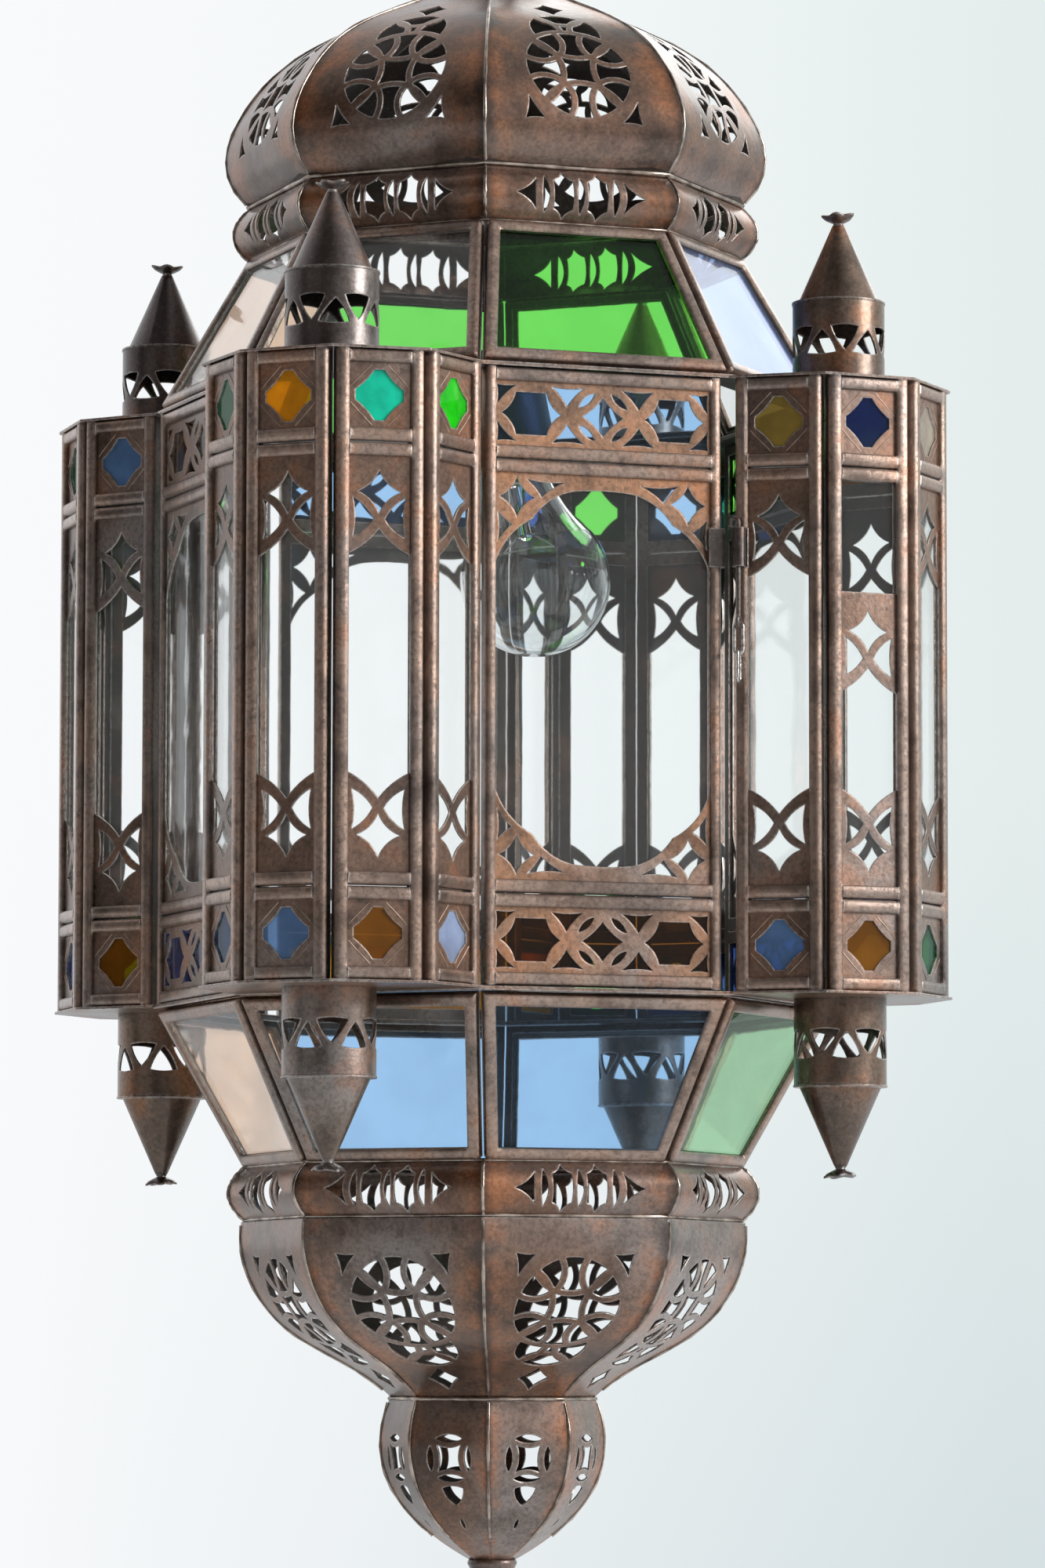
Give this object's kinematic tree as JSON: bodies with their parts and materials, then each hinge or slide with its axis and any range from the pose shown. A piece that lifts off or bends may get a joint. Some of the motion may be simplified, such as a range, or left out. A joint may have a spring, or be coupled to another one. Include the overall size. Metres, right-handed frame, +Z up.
{
  "type": "hanging lantern",
  "caption": "Hanging eight-sided lantern of pierced patinated metal with clear and coloured panes, corner towers with turrets, a hinged door and a lamp inside.",
  "frame": {"origin": "centre of the hanging loop's bore", "axes": "+Z up along the lantern's axis, -Y out of the door"},
  "size_m": [0.2942, 0.2942, 0.6798],
  "materials": {
    "patina_metal": "brown patina, worn pale along the edges",
    "clear_glass": "clear, slightly uneven",
    "green_glass": "clear green",
    "teal_glass": "clear blue-green",
    "amber_glass": "clear amber",
    "blue_glass": "clear blue",
    "pale_blue_glass": "pale lilac blue",
    "smoke_glass": "smoky",
    "peach_glass": "pale peach",
    "lamp_glass": "clear lamp glass",
    "lamp_metal": "rolled screw cap",
    "filament_metal": "fine wire",
    "black_plastic": "moulded",
    "flex_plastic": "sheathed flex",
    "link_steel": "worn bright wire"
  },
  "bodies": {
    "lantern": {"band_panes_amber": "amber_glass", "band_panes_blue": "blue_glass", "band_panes_green": "green_glass", "band_panes_pale_blue": "pale_blue_glass", "band_panes_smoke": "smoke_glass", "band_panes_teal": "teal_glass", "bowl": "patina_metal", "crown_cap": "patina_metal", "crown_nipple": "patina_metal", "dome": "patina_metal", "finial": "patina_metal", "finial_tip": "patina_metal", "funnel_frames": "patina_metal", "inner_flex": "flex_plastic", "lampholder_cap": "black_plastic", "lampholder_skirt": "black_plastic", "lower_cones": "patina_metal", "lower_galleries": "patina_metal", "lower_hoop": "patina_metal", "lower_ring": "patina_metal", "roof_frames": "patina_metal", "side_frames": "patina_metal", "side_sheets": "patina_metal", "slope_panes_blue": "blue_glass", "slope_panes_clear": "clear_glass", "slope_panes_green": "green_glass", "slope_panes_pale_blue": "pale_blue_glass", "slope_panes_peach": "peach_glass", "tower_1_frames": "patina_metal", "tower_1_sheets": "patina_metal", "tower_2_frames": "patina_metal", "tower_2_sheets": "patina_metal", "tower_3_frames": "patina_metal", "tower_3_sheets": "patina_metal", "tower_4_frames": "patina_metal", "tower_4_sheets": "patina_metal", "tower_clip": "patina_metal", "tower_floors": "patina_metal", "tower_roofs": "patina_metal", "turret_tips": "patina_metal", "upper_cones": "patina_metal", "upper_galleries": "patina_metal", "upper_hoop": "patina_metal", "upper_ring": "patina_metal", "window_panes": "clear_glass"},
    "door": {"door_frame": "patina_metal", "door_sheets": "patina_metal", "door_window_pane": "clear_glass", "door_upper_pane": "blue_glass", "door_lower_pane": "amber_glass", "door_pivots": "patina_metal", "door_clip": "patina_metal"},
    "latch_pin": {"latch_pin": "patina_metal"},
    "link_upper": {"link_upper": "link_steel"},
    "link_lower": {"link_lower": "link_steel"},
    "bulb": {"bulb_glass": "lamp_glass", "bulb_cap": "lamp_metal", "bulb_stem": "lamp_glass", "bulb_filament": "filament_metal"},
    "hanging_loop": {"hanging_loop": "patina_metal"}
  },
  "joints": [
    {"name": "door_hinge", "type": "hinge", "parent": "lantern", "child": "door", "pos_m": [-0.04663, -0.12103, 0], "axis": [0, 0, -1], "range_deg": [0, 110]},
    {"name": "latch_pin_turn", "type": "hinge", "parent": "lantern", "child": "latch_pin", "pos_m": [0.05112, -0.12923, -0.29925], "axis": [0, 0, 1], "range_deg": [0, 90]},
    {"name": "link_upper_swing", "type": "hinge", "parent": "latch_pin", "child": "link_upper", "pos_m": [0.05112, -0.12923, -0.29955], "axis": [-0.7986, 0.6018, 0], "range_deg": [0, 60]},
    {"name": "link_lower_swing", "type": "hinge", "parent": "link_upper", "child": "link_lower", "pos_m": [0.05112, -0.12923, -0.31155], "axis": [-0.7986, 0.6018, 0], "range_deg": [0, 60]},
    {"name": "bulb_out", "type": "slide", "parent": "lantern", "child": "bulb", "axis": [0.1793, -0.0653, -0.9816], "range_m": [0, 0.025]},
    {"name": "loop_swivel", "type": "hinge", "parent": "lantern", "child": "hanging_loop", "pos_m": [0, 0, 0], "axis": [0, 0, 1], "range_deg": [-90, 90]}
  ]
}
